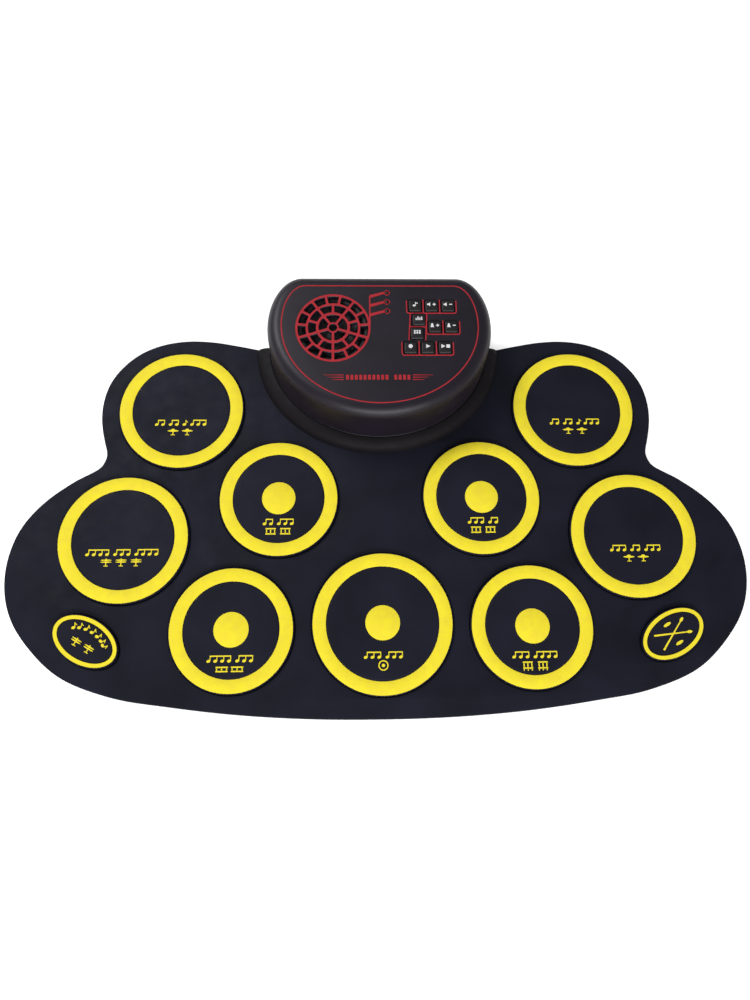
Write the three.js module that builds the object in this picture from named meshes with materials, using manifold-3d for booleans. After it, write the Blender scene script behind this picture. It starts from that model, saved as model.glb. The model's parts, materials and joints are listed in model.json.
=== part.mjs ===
// Roll-up electronic drum pad: a flexible silicone mat with ten playing pads, and a D-shaped console
// with a speaker, keys and lamps at its rear edge. Millimetres, +X right, +Y to the rear, +Z up.
// The origin is at the middle of the footprint, on the surface that the object lies on.
import * as THREE from 'three';
import { mergeVertices } from 'three/addons/utils/BufferGeometryUtils.js';
import Module from 'manifold-3d';

const wasm = await Module();
wasm.setup();

// ---------- driving dimensions ----------
const GAP = 0.3; // between pieces that touch

// Mat: three sheets on top of each other.
const BASE = { z0: 0, z1: 1.2 };
const FILM = { z0: 1.5, z1: 1.8 };
const SKIN = { z0: 2.1, z1: 3.9 };
const RIM_STEPS = 128; // sides of the mat's outer edge
// Right half of the mat's outer edge, from the console to the middle of the front.
const RIM = [
  [73.1, 101.3], [93.7, 105.7], [110.8, 108.6], [127.9, 109.1], [143.9, 106.2], [157.4, 100],
  [168.1, 90.5], [175.6, 79], [179.1, 65.4], [179, 51.3], [175.8, 37], [173.8, 30], [174.4, 24.6],
  [177.5, 20], [182.4, 16.9], [191, 12.1], [209, -1.8], [221.4, -17.9], [227, -35], [227.7, -52.1],
  [223.9, -68.3], [215.4, -83.3], [191.2, -106.6], [158.8, -119.5], [125.3, -125.3], [84.9, -130.3],
  [42.3, -133.2],
];
const RIM_FRONT_Y = -134;
// Right half of the sensor film's edge.
const FILM_EDGE = [
  [90, 92], [118, 100], [150, 92], [169, 60], [165, 26], [200, -8], [218, -50], [200, -88],
  [125, -118], [60, -124],
];
const FILM_FRONT_Y = -126;

// Pads: name, centre, radius. They stand in wells of the skin and sink 0.8 when struck.
const PAD_TOP = 6;
const PAD_BOTTOM = 2.9;
const PAD_EDGE = 0.7; // bevel at the top edge
const WELL_GAP = 0.4;
const PAD_SIDES = 28;
const PADS = [
  ['crash_pad_left', -127.8, 58.8, 40.1],
  ['crash_pad_right', 127.8, 58.8, 40.1],
  ['hi_hat_pad', -158.1, -26.3, 40],
  ['ride_pad', 158.1, -26.3, 40],
  ['high_tom_pad', -63.8, -1, 37.4],
  ['low_tom_pad', 63.8, -1, 37.4],
  ['snare_pad', -90.1, -81.7, 37.4],
  ['floor_tom_pad', 90.1, -81.7, 37.4],
  ['bass_pad', 0, -78.7, 42.7],
];
// Oval pieces: the closed hi-hat pad on the left and a fixed badge on the right.
const OVAL = { x: 175.3, y: -87.3, rx: 21.5, ry: 13.7, tilt: THREE.MathUtils.degToRad(30) };

// Console: a D in plan, straight at the rear and half an ellipse at the front.
const D_Y = 100; // where the D is widest
const D_HALF = 70.8;
const D_SQUASH = 0.882; // depth of the front half over its half width
const D_REAR = 134;
const D_CORNER_X = 49; // where the rear corners begin
const SEAM_Z = 12; // joint between the two case halves
const TOP_Z = 44.8;
const WALL = 2.2;
const TAPER = 0.02; // how much narrower the top case is at its top
const CASE_ROUND = 7.5; // radius of the top edge
const FLOOR = { z0: 1.5, z1: 3.5 };
const BAY = 0.7; // room between the mat and the console's foot
const COLLAR_R = 80.2; // half width of the soft collar that covers the joint with the mat
const TAIL_HALF = 8; // half width of the flat cable from the mat to the console

// Speaker and its grille: opening count, inner and outer radius, and shift in openings, of each ring.
const SPEAKER = { x: -28.8, y: 96 };
const WEB = 2; // width of the bars between the grille's openings
const GRILLE = [[15, 16.85, 21.3, 0], [10, 10.65, 15, 0.5], [5, 3.82, 8.57, 0]];
const GRILLE_HUB = 2.3;

// Keys: name and centre.
const KEY = { wx: 8.2, wy: 7.7, top: 46, flange: 0.35, bottom: 40.3, round: 0.9, gap: 0.3 };
const KEYS = [
  ['key_demo', 21.7, 110.8], ['key_volume_up', 31.9, 110.8], ['key_volume_down', 42.1, 110.8],
  ['key_rhythm', 23.8, 101.2], ['key_style', 22.5, 91.9],
  ['key_tempo_up', 33.5, 96.4], ['key_tempo_down', 43.7, 96.4],
  ['key_record', 18.2, 82.3], ['key_play', 28.7, 82.3], ['key_start_stop', 39.2, 82.3],
];
const LAMPS = [['lamp_rear', 4.4, 120], ['lamp_middle', 4.4, 113.6], ['lamp_front', 4.4, 107.2]];
const LAMP_R = 1.1;

const POSTS = [[-56, 116], [56, 116], [-44, 66], [44, 66]]; // screw posts
const FEET = [[-60, 96], [60, 96], [-28, 52], [28, 52]];
const FOOT_R = 5;

// Battery bay for four AA cells side by side, and its sliding door.
const BAY_X = 31.5;
const BAY_Y = [70, 126];
const BAY_ROOF = 20;
const DOOR = { x: 33.7, y0: 66.3, z0: 1.5, z1: 3.1, tongue: 1.2 };

// Things behind the rear wall: name, centre X. Their axes are at JACK_Z.
const JACK_Z = 30;
const JACKS = [['headphone_jack', -6], ['audio_in_jack', 8], ['sustain_pedal_jack', 24], ['bass_pedal_jack', 38]];
const JACK_BORE = 1.8;
const JACK_BARREL = 3;
const USB_X = -42;
const SWITCH_X = -25;
const SWITCH_TRAVEL = 3;

// ---------- colours ----------
const paint = (color, roughness, metalness = 0) =>
  new THREE.MeshStandardMaterial({ color, roughness, metalness });
const MAT_SILICONE = paint(0x252430, 0.8);
const PAD_SILICONE = paint(0x2a2936, 0.75);
const CASE_PLASTIC = paint(0x2a2730, 0.45);
const COLLAR_RUBBER = paint(0x201c1e, 0.7);
const KEY_RUBBER = paint(0x16151a, 0.5);
const LAMP_LENS = paint(0x7a1018, 0.2);
const FILM_PET = paint(0xb9b4a0, 0.4);
const BOARD = paint(0x1f5a35, 0.5);
const CHIP = paint(0x101012, 0.4);
const STEEL = paint(0xb8babd, 0.3, 1);
const CONE_PAPER = paint(0x3a3a3e, 0.8);
const FOOT_RUBBER = paint(0x111113, 0.9);

// ---------- solids ----------
function solid(geometry) {
  const plain = geometry.clone();
  for (const name of Object.keys(plain.attributes)) {
    if (name !== 'position') plain.deleteAttribute(name);
  }
  const merged = mergeVertices(plain, 1e-4);
  return new wasm.Manifold(new wasm.Mesh({
    numProp: 3,
    vertProperties: Float32Array.from(merged.attributes.position.array),
    triVerts: Uint32Array.from(merged.index.array),
  }));
}

function surface(body) {
  const mesh = body.getMesh();
  const geometry = new THREE.BufferGeometry();
  geometry.setAttribute('position', new THREE.BufferAttribute(mesh.vertProperties, 3));
  geometry.setIndex(new THREE.BufferAttribute(mesh.triVerts, 1));
  geometry.computeVertexNormals();
  return geometry;
}

const join = (first, ...rest) => rest.reduce((sum, next) => sum.add(next), first);
const cut = (body, ...tools) => tools.reduce((left, tool) => left.subtract(tool), body);

function prism(points, z0, z1) {
  const geometry = new THREE.ExtrudeGeometry(new THREE.Shape(points), { depth: z1 - z0, bevelEnabled: false });
  return geometry.translate(0, 0, z0);
}

// A prism whose top and bottom edges are rounded with the radius r.
function roundedPrism(points, z0, z1, r, steps) {
  const geometry = new THREE.ExtrudeGeometry(new THREE.Shape(points), {
    depth: z1 - z0 - 2 * r, bevelEnabled: true, bevelThickness: r, bevelSize: r, bevelOffset: -r,
    bevelSegments: steps,
  });
  return geometry.translate(0, 0, z0 + r);
}

function box(x0, x1, y0, y1, z0, z1) {
  return new THREE.BoxGeometry(x1 - x0, y1 - y0, z1 - z0)
    .translate((x0 + x1) / 2, (y0 + y1) / 2, (z0 + z1) / 2);
}

function post(x, y, r, z0, z1, sides = 16) {
  return new THREE.CylinderGeometry(r, r, z1 - z0, sides).rotateX(Math.PI / 2).translate(x, y, (z0 + z1) / 2);
}

// A turned piece with its axis along +Z, from a profile of [radius, z] pairs.
function turned(profile, sides) {
  const points = profile.map(([r, z]) => new THREE.Vector2(r, z));
  return new THREE.LatheGeometry(points, sides).rotateX(Math.PI / 2);
}

function ellipseArc(cx, cy, rx, ry, from, to, steps) {
  const points = [];
  for (let i = 0; i <= steps; i += 1) {
    const angle = from + ((to - from) * i) / steps;
    points.push(new THREE.Vector2(cx + rx * Math.cos(angle), cy + ry * Math.sin(angle)));
  }
  return points;
}

// The console's outline, moved inwards by inset.
function dOutline(inset) {
  const half = D_HALF - inset;
  const corner = [half - D_CORNER_X, D_REAR - D_Y - inset];
  return [
    ...ellipseArc(0, D_Y, half, D_SQUASH * D_HALF - inset, Math.PI, 2 * Math.PI, 24).slice(0, -1),
    ...ellipseArc(D_CORNER_X, D_Y, ...corner, 0, Math.PI / 2, 6),
    ...ellipseArc(-D_CORNER_X, D_Y, ...corner, Math.PI / 2, Math.PI, 6).slice(0, -1),
  ];
}

function roundedRect(cx, cy, wx, wy, r, steps = 2) {
  const [x, y] = [wx / 2 - r, wy / 2 - r];
  const corners = [[1, 1], [-1, 1], [-1, -1], [1, -1]];
  return corners.flatMap(([sx, sy], i) =>
    ellipseArc(cx + sx * x, cy + sy * y, r, r, (i * Math.PI) / 2, ((i + 1) * Math.PI) / 2, steps));
}

// A smooth outline through a right half, its mirror image and one point at the front.
function smoothOutline(rightHalf, frontY, steps, closed) {
  const right = rightHalf.map(([x, y]) => new THREE.Vector3(x, y, 0));
  const left = rightHalf.map(([x, y]) => new THREE.Vector3(-x, y, 0));
  const knots = [...left, new THREE.Vector3(0, frontY, 0), ...right.reverse()];
  const curve = new THREE.CatmullRomCurve3(knots, closed, 'centripetal');
  const points = curve.getSpacedPoints(steps).map((p) => new THREE.Vector2(p.x, p.y));
  return closed ? points.slice(0, -1) : points;
}

// ---------- mat ----------
// The mat's outer edge, closed by the bay that the console stands in. The notch lets the cable up.
function matOutline(bay, notchY = null) {
  const outer = smoothOutline(RIM, RIM_FRONT_Y, RIM_STEPS, false);
  const half = D_HALF + bay;
  const depth = D_SQUASH * half;
  if (notchY === null) {
    return [...outer, ...ellipseArc(0, D_Y, half, depth, 0, -Math.PI, 28)];
  }
  const width = TAIL_HALF + 2;
  const side = Math.acos(width / half);
  return [
    ...outer,
    ...ellipseArc(0, D_Y, half, depth, 0, -side, 12),
    new THREE.Vector2(width, notchY),
    new THREE.Vector2(-width, notchY),
    ...ellipseArc(0, D_Y, half, depth, side - Math.PI, -Math.PI, 12),
  ];
}

function ovalPoints(side, grow, sides) {
  const turn = side * OVAL.tilt;
  return ellipseArc(0, 0, OVAL.rx + grow, OVAL.ry + grow, 0, 2 * Math.PI, sides).slice(0, -1)
    .map((p) => p.rotateAround(new THREE.Vector2(0, 0), turn));
}

function matSkin() {
  const shape = new THREE.Shape(matOutline(BAY, 31.5));
  for (const [, x, y, r] of PADS) {
    shape.holes.push(new THREE.Path(ellipseArc(x, y, r + WELL_GAP, r + WELL_GAP, 0, 2 * Math.PI, PAD_SIDES).slice(0, -1)));
  }
  for (const side of [-1, 1]) {
    const hole = ovalPoints(side, WELL_GAP, PAD_SIDES).map((p) => p.add(new THREE.Vector2(side * OVAL.x, OVAL.y)));
    shape.holes.push(new THREE.Path(hole));
  }
  const depth = SKIN.z1 - SKIN.z0;
  return new THREE.ExtrudeGeometry(shape, { depth, bevelEnabled: false }).translate(0, 0, SKIN.z0);
}

// A round pad about its own centre, z from the floor.
function roundPad(r) {
  // A quarter turn brings the corners of the pad in line with the corners of its well.
  return turned([[0, PAD_BOTTOM], [r, PAD_BOTTOM], [r, PAD_TOP - PAD_EDGE], [r - PAD_EDGE, PAD_TOP], [0, PAD_TOP]],
    PAD_SIDES).rotateZ(Math.PI / 2);
}

function ovalPad(side) {
  const body = roundedPrism(ovalPoints(side, 0, PAD_SIDES), PAD_BOTTOM - PAD_EDGE, PAD_TOP, PAD_EDGE, 1);
  return surface(cut(solid(body), solid(box(-40, 40, -40, 40, 0, PAD_BOTTOM))));
}

// The flat cable: leaves the film, climbs through the collar and the case wall up to the main board.
function cableTail() {
  const middle = [[20, 1.65], [32, 1.65], [33.8, 3.2], [34.8, 5.6], [36.2, 6.8], [42, 6.8], [48, 9], [56, 18],
    [62, 28], [67, 33.5], [75, 36]];
  const half = 0.15;
  const edge = (sign) => middle.map(([y, z], i) => {
    const [y0, z0] = middle[Math.max(i - 1, 0)];
    const [y1, z1] = middle[Math.min(i + 1, middle.length - 1)];
    const normal = new THREE.Vector2(-(z1 - z0), y1 - y0).normalize().multiplyScalar(sign * half);
    return new THREE.Vector2(y, z).add(normal);
  });
  const strip = prism([...edge(-1), ...edge(1).reverse()], -TAIL_HALF, TAIL_HALF);
  const axes = new THREE.Matrix4().makeBasis(
    new THREE.Vector3(0, 1, 0), new THREE.Vector3(0, 0, 1), new THREE.Vector3(1, 0, 0));
  return strip.applyMatrix4(axes);
}

function sensorFilm() {
  const outline = smoothOutline([[50, 30], ...FILM_EDGE], FILM_FRONT_Y, 64, false);
  // The film ends in front of the console, where the cable joins it.
  const body = solid(prism([...outline, new THREE.Vector2(TAIL_HALF + 2, 19.7), new THREE.Vector2(-TAIL_HALF - 2, 19.7)],
    FILM.z0, FILM.z1));
  return surface(body);
}

// ---------- console ----------
function collar() {
  const foot = SKIN.z1 + GAP;
  const inner = D_HALF + 0.6;
  const profile = [
    [inner, foot], [inner + 2, foot], [inner + 2, 8.6], [77.3, 6.8], [COLLAR_R - 2, foot], [COLLAR_R, foot],
    [COLLAR_R - 0.3, 6], [78.6, 8.2], [76.2, 9.9], [inner, 11.6], [inner, foot],
  ];
  const ring = turned(profile, 56).scale(1, D_SQUASH, 1).translate(0, D_Y, 0);
  const behind = box(-100, 100, D_Y + 0.6, D_Y + 100, 0, 20);
  const cableGate = box(-TAIL_HALF - 1, TAIL_HALF + 1, 33, 38, 4, 7.6);
  return surface(cut(solid(ring), solid(behind), solid(cableGate)));
}

function taper(geometry) {
  const position = geometry.attributes.position;
  for (let i = 0; i < position.count; i += 1) {
    const scale = 1 - (TAPER * (position.getZ(i) - SEAM_Z)) / (TOP_Z - SEAM_Z);
    position.setXY(i, position.getX(i) * scale, D_Y + (position.getY(i) - D_Y) * scale);
  }
  return geometry;
}

// One opening of the grille: a sector between two parallel bars.
function grilleOpening(middle, count, inner, outer) {
  const corner = (r, sign) => middle + sign * (Math.PI / count - Math.asin(WEB / 2 / r));
  return [
    ...ellipseArc(SPEAKER.x, SPEAKER.y, outer, outer, corner(outer, -1), corner(outer, 1), 2),
    ...ellipseArc(SPEAKER.x, SPEAKER.y, inner, inner, corner(inner, 1), corner(inner, -1), 2),
  ];
}

function grilleTools() {
  const [z0, z1] = [TOP_Z - WALL - 1, TOP_Z + 1];
  const tools = [solid(post(SPEAKER.x, SPEAKER.y, GRILLE_HUB, z0, z1, 10))];
  for (const [count, inner, outer, shift] of GRILLE) {
    for (let i = 0; i < count; i += 1) {
      const middle = Math.PI / 2 + (2 * Math.PI * (i + shift)) / count;
      tools.push(solid(prism(grilleOpening(middle, count, inner, outer), z0, z1)));
    }
  }
  return tools;
}

// Round holes for the jacks, and slots for the USB socket and the power switch.
function rearHoles() {
  const holes = JACKS.map(([, x]) => solid(
    new THREE.CylinderGeometry(JACK_BARREL + 0.3, JACK_BARREL + 0.3, 12, 12).translate(x, D_REAR, JACK_Z)));
  holes.push(solid(box(USB_X - 4.3, USB_X + 4.3, D_REAR - 6, D_REAR + 6, JACK_Z - 2.3, JACK_Z + 2.3)));
  holes.push(solid(box(SWITCH_X - 4.5, SWITCH_X + 4.5, D_REAR - 6, D_REAR + 6, JACK_Z - 1.8, JACK_Z + 1.8)));
  return holes;
}

function topCase() {
  const below = 20; // how far the blank reaches below the seam before it is trimmed
  const outer = taper(roundedPrism(dOutline(0), SEAM_Z - below, TOP_Z, CASE_ROUND, 3));
  const inner = taper(roundedPrism(dOutline(WALL), SEAM_Z - below, TOP_Z - WALL, CASE_ROUND - 2, 2));
  const roof = TOP_Z - WALL + 0.5; // posts reach into the plate
  const posts = POSTS.map(([x, y]) => solid(post(x, y, 3.6, 6.3, roof, 12)));
  const postBores = POSTS.map(([x, y]) => solid(post(x, y, 1.7, 6, 24, 8)));
  const speakerRib = cut(solid(post(SPEAKER.x, SPEAKER.y, 27.2, 38.5, roof, 24)),
    solid(post(SPEAKER.x, SPEAKER.y, 25.8, 38, TOP_Z - WALL, 24)));
  const keyTools = KEYS.map(([, x, y]) => solid(
    prism(roundedRect(x, y, KEY.wx + 2 * KEY.gap, KEY.wy + 2 * KEY.gap, KEY.round + KEY.gap, 1),
      TOP_Z - WALL - 1, TOP_Z + 1)));
  const lampTools = LAMPS.map(([, x, y]) => solid(post(x, y, LAMP_R + 0.3, TOP_Z - WALL - 1, TOP_Z + 1, 8)));
  const belowSeam = solid(box(-100, 100, 0, 200, -40, SEAM_Z + GAP));
  const shell = cut(solid(outer), solid(inner), belowSeam);
  const whole = cut(join(shell, ...posts, speakerRib), ...postBores);
  return surface(cut(whole, ...grilleTools(), ...keyTools, ...lampTools, ...rearHoles()));
}

function bottomCase() {
  const shell = cut(solid(prism(dOutline(0), FLOOR.z0, SEAM_Z)), solid(prism(dOutline(WALL), FLOOR.z1, SEAM_Z + 1)));
  const [y0, y1] = BAY_Y;
  const ledge = solid(box(-BAY_X - 6, BAY_X + 6, y0 - 8, D_REAR - 1, FLOOR.z0, 5));
  const bayWalls = solid(box(-BAY_X - 1.5, BAY_X + 1.5, y0 - 1.5, y1 + 1.5, FLOOR.z0, BAY_ROOF + 1.5));
  const bosses = POSTS.map(([x, y]) => solid(post(x, y, 4.6, FLOOR.z0, 6, 12)));
  const bayHollow = solid(box(-BAY_X, BAY_X, y0, y1, 0, BAY_ROOF));
  const doorWay = solid(box(-DOOR.x - GAP, DOOR.x + GAP, DOOR.y0 - GAP, D_REAR + 5, 0, DOOR.z1 + GAP));
  const grooveX = DOOR.x + DOOR.tongue + GAP;
  const groove = solid(box(-grooveX, grooveX, DOOR.y0 - GAP, D_REAR + 5, DOOR.z0 + 0.6, DOOR.z1 + GAP));
  const screwHoles = POSTS.flatMap(([x, y]) => [solid(post(x, y, 3.2, 0, 4.1, 12)), solid(post(x, y, 1.8, 0, 10, 8))]);
  const footSeats = FEET.map(([x, y]) => solid(post(x, y, FOOT_R + GAP, 0, 2.1, 16)));
  const cableSlot = solid(box(-TAIL_HALF - 1, TAIL_HALF + 1, 35, 42, 6, 7.6));
  const whole = join(shell, ledge, bayWalls, ...bosses);
  return surface(cut(whole, bayHollow, doorWay, groove, ...screwHoles, ...footSeats, cableSlot));
}

// A flat door with a tongue along each side and ridges to grip it by.
function batteryDoor() {
  const plate = solid(box(-DOOR.x, DOOR.x, DOOR.y0, D_REAR, DOOR.z0, DOOR.z1));
  const wide = DOOR.x + DOOR.tongue;
  const tongues = solid(box(-wide, wide, DOOR.y0, D_REAR - 4, DOOR.z0 + 0.9, DOOR.z1));
  const gripGrooves = [0, 1, 2, 3, 4].map((i) => solid(box(-10, 10, 118 + 2.4 * i, 119.2 + 2.4 * i, 0, DOOR.z0 + 0.5)));
  return surface(cut(join(plate, tongues), ...gripGrooves));
}

// A contact strip at one end of the battery bay, with a cone for each cell where it has springs.
function contactStrip(y, sprung) {
  const strip = solid(box(-29, 29, y - 0.25, y + 0.25, 6.5, 16.5));
  if (!sprung) return surface(strip);
  const cones = [-21.75, -7.25, 7.25, 21.75].map((x) => solid(
    new THREE.CylinderGeometry(1.6, 4, 2.6, 10).translate(x, y + 1.4, 11.5)));
  return surface(join(strip, ...cones));
}

// ---------- keys and lamps ----------
function keycap(x, y) {
  const stem = solid(roundedPrism(roundedRect(x, y, KEY.wx, KEY.wy, KEY.round, 1), KEY.bottom, KEY.top, 0.5, 1));
  const flangeTop = TOP_Z - WALL - GAP;
  const flange = solid(box(x - KEY.wx / 2 - KEY.flange, x + KEY.wx / 2 + KEY.flange,
    y - KEY.wy / 2 - KEY.flange, y + KEY.wy / 2 + KEY.flange, KEY.bottom, flangeTop));
  return surface(join(stem, flange));
}

function lamp(x, y) {
  return turned([[0, 38.9], [LAMP_R, 38.9], [LAMP_R, TOP_Z - 0.2], [LAMP_R * 0.6, TOP_Z + 0.3], [0, TOP_Z + 0.5]], 8)
    .translate(x, y, 0);
}

function domeSheet() {
  return prism(roundedRect(31, 96.5, 36, 37.5, 2), 38.9, 39.2);
}

function mainBoard() {
  const board = solid(box(-1, 55, 74, 126, 37, 38.6));
  const clear = solid(post(56, 116, 4.2, 36, 40, 12));
  return surface(cut(board, clear));
}

// ---------- speaker ----------
function speakerBasket() {
  return turned([
    [9.5, 30.3], [16, 30.3], [22.8, 40.9], [25.4, 40.9], [25.4, 42.2], [21.8, 42.2], [21.8, 41.4], [15.2, 31.5],
    [9.5, 31.5], [9.5, 30.3],
  ], 20).translate(SPEAKER.x, SPEAKER.y, 0);
}

function speakerCone() {
  return turned([[0, 33], [7, 33], [21.3, 41.7], [21.3, 42.2], [7.4, 34.6], [5, 36.2], [0, 37]], 16)
    .translate(SPEAKER.x, SPEAKER.y, 0);
}

function speakerMagnet() {
  return turned([[0, 23], [14.4, 23], [15, 23.6], [15, 29.4], [14.4, 30], [0, 30]], 16)
    .translate(SPEAKER.x, SPEAKER.y, 0);
}

// ---------- rear connectors ----------
function jack(x) {
  const front = 133.4;
  const body = solid(box(x - 4, x + 4, 119.5, 130.3, JACK_Z - 2.7, JACK_Z + 3.4));
  const barrel = solid(new THREE.CylinderGeometry(JACK_BARREL, JACK_BARREL, 6, 12).translate(x, front - 3, JACK_Z));
  const bore = solid(new THREE.CylinderGeometry(JACK_BORE, JACK_BORE, 12, 10).translate(x, front - 5, JACK_Z));
  return surface(cut(join(body, barrel), bore));
}

function usbSocket() {
  const shell = solid(box(USB_X - 4, USB_X + 4, 122, 133.4, JACK_Z - 2, JACK_Z + 2));
  const mouth = solid(box(USB_X - 3.6, USB_X + 3.6, 125, 140, JACK_Z - 1.6, JACK_Z + 1.6));
  const tongue = solid(box(USB_X - 2.6, USB_X + 2.6, 124.5, 131.5, JACK_Z - 0.1, JACK_Z + 0.8));
  return surface(join(cut(shell, mouth), tongue));
}

function switchBody() {
  const body = solid(box(SWITCH_X - 5, SWITCH_X + 5, 123, 130.4, JACK_Z - 2.7, JACK_Z + 2.7));
  const slot = solid(box(SWITCH_X - 4, SWITCH_X + 4, 126, 131, JACK_Z - 1.6, JACK_Z + 1.6));
  return surface(cut(body, slot));
}

function powerSlider() {
  const x = SWITCH_X - SWITCH_TRAVEL / 2;
  const stem = solid(box(x - 1.7, x + 1.7, 127, D_REAR - 0.4, JACK_Z - 1.2, JACK_Z + 1.2));
  const grooves = [-0.9, 0, 0.9].map((dx) => solid(
    box(x + dx - 0.2, x + dx + 0.2, D_REAR - 1, D_REAR, JACK_Z - 2, JACK_Z + 2)));
  return surface(cut(stem, ...grooves));
}

// ---------- fasteners and feet ----------
function screw(x, y) {
  const body = solid(turned([[0, 1.9], [2.4, 1.9], [2.8, 2.4], [2.8, 3.8], [1.4, 3.8], [1.4, 15], [0, 16]], 12));
  const slots = [solid(box(-1.9, 1.9, -0.35, 0.35, 1, 2.7)), solid(box(-0.35, 0.35, -1.9, 1.9, 1, 2.7))];
  return surface(cut(body, ...slots)).translate(x, y, 0);
}

function foot(x, y) {
  return turned([[0, 0], [FOOT_R - 0.4, 0], [FOOT_R, 0.4], [FOOT_R, 1.8], [0, 1.8]], 20).translate(x, y, 0);
}

// ---------- assembly ----------
const object = new THREE.Group();
function add(parent, name, geometry, material, x = 0, y = 0) {
  const mesh = new THREE.Mesh(geometry, material);
  mesh.name = name;
  mesh.position.set(x, y, 0);
  parent.add(mesh);
}

const mat = new THREE.Group();
add(mat, 'mat_base', prism(matOutline(BAY), BASE.z0, BASE.z1), MAT_SILICONE);
add(mat, 'sensor_film', sensorFilm(), FILM_PET);
add(mat, 'mat_skin', matSkin(), MAT_SILICONE);
for (const [name, x, y, r] of PADS) add(mat, name, roundPad(r), PAD_SILICONE, x, y);
add(mat, 'closed_hi_hat_pad', ovalPad(-1), PAD_SILICONE, -OVAL.x, OVAL.y);
add(mat, 'badge_plate', ovalPad(1), PAD_SILICONE, OVAL.x, OVAL.y);
add(mat, 'sensor_cable', cableTail(), FILM_PET);

const consoleBox = new THREE.Group();
add(consoleBox, 'collar', collar(), COLLAR_RUBBER);
add(consoleBox, 'bottom_case', bottomCase(), CASE_PLASTIC);
add(consoleBox, 'top_case', topCase(), CASE_PLASTIC);
for (const [name, x, y] of KEYS) add(consoleBox, name, keycap(x, y), KEY_RUBBER);
for (const [name, x, y] of LAMPS) add(consoleBox, name, lamp(x, y), LAMP_LENS);
add(consoleBox, 'dome_sheet', domeSheet(), FOOT_RUBBER);
add(consoleBox, 'main_board', mainBoard(), BOARD);
add(consoleBox, 'sound_chip', box(24, 38, 92, 104, 35.4, 36.7), CHIP);
add(consoleBox, 'amplifier_chip', box(8, 16, 84, 92, 35.2, 36.7), CHIP);
add(consoleBox, 'speaker_basket', speakerBasket(), STEEL);
add(consoleBox, 'speaker_cone', speakerCone(), CONE_PAPER);
add(consoleBox, 'speaker_magnet', speakerMagnet(), STEEL);

const rear = new THREE.Group();
add(rear, 'jack_board', box(-47, 45, 117, 129.5, 25.4, 27), BOARD);
for (const [name, x] of JACKS) add(rear, name, jack(x), CHIP);
add(rear, 'usb_socket', usbSocket(), STEEL);
add(rear, 'power_switch', switchBody(), CHIP);
add(rear, 'power_slider', powerSlider(), KEY_RUBBER);

const underside = new THREE.Group();
add(underside, 'battery_door', batteryDoor(), CASE_PLASTIC);
add(underside, 'spring_contacts', contactStrip(BAY_Y[0] + 0.5, true), STEEL);
add(underside, 'flat_contacts', contactStrip(BAY_Y[1] - 0.5, false), STEEL);
POSTS.forEach(([x, y], i) => add(underside, `case_screw_${i + 1}`, screw(x, y), STEEL));
FEET.forEach(([x, y], i) => add(underside, `rubber_foot_${i + 1}`, foot(x, y), FOOT_RUBBER));

consoleBox.add(rear, underside);
object.add(mat, consoleBox);
export default object;
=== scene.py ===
import itertools
import json
import math

import bmesh
import bpy
from mathutils import Euler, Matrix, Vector
from mathutils.geometry import tessellate_polygon

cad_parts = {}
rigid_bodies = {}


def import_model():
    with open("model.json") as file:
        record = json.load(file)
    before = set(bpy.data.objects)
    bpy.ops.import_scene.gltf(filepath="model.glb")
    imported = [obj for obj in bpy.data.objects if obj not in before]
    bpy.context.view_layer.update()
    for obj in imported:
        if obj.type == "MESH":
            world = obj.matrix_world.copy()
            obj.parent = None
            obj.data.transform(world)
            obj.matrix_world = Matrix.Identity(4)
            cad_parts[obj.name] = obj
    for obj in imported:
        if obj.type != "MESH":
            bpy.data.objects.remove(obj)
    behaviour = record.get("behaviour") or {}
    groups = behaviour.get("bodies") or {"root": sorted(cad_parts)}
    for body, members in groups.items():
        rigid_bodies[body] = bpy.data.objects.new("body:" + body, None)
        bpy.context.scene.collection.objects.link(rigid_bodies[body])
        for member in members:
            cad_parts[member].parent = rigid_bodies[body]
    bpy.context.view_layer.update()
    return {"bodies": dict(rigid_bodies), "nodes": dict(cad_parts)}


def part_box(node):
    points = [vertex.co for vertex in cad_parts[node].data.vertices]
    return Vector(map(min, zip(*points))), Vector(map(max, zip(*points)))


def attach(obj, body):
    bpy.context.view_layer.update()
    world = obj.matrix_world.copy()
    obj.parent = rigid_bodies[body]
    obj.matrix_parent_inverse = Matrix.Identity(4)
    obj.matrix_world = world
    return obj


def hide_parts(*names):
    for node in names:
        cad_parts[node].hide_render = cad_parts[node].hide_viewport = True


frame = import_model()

# Looks of a roll-up electronic drum pad: silicone mat, striking pads and a D-shaped console.
# Everything is in metres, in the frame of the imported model. MM turns millimetres into metres.
MM = 0.001
ROOT = "console_and_mat"


def low(node):
    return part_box(node)[0]


def high(node):
    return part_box(node)[1]


def middle(node):
    return (low(node) + high(node)) / 2


# ---------- camera ----------
def add_camera():
    """A camera above the front of the mat, looking down and a little to the rear."""
    data = bpy.data.cameras.new("camera")
    data.sensor_fit = "AUTO"
    data.sensor_width = 36
    data.lens = 23.76
    data.clip_start, data.clip_end = 0.01, 20
    camera = bpy.data.objects.new("camera", data)
    camera.location = (-0.0162, -0.1111, 0.4061)
    camera.rotation_euler = Euler([math.radians(a) for a in (15.19, -1.59, -0.83)])
    bpy.context.scene.collection.objects.link(camera)
    bpy.context.scene.camera = camera


add_camera()


# ---------- colours and materials ----------
def linear(code):
    """A colour written as on screen, such as "252430", as linear red, green, blue and alpha."""
    parts = [int(code[i:i + 2], 16) / 255 for i in (0, 2, 4)]
    return tuple(c / 12.92 if c <= 0.04045 else ((c + 0.055) / 1.055) ** 2.4 for c in parts) + (1.0,)


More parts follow.
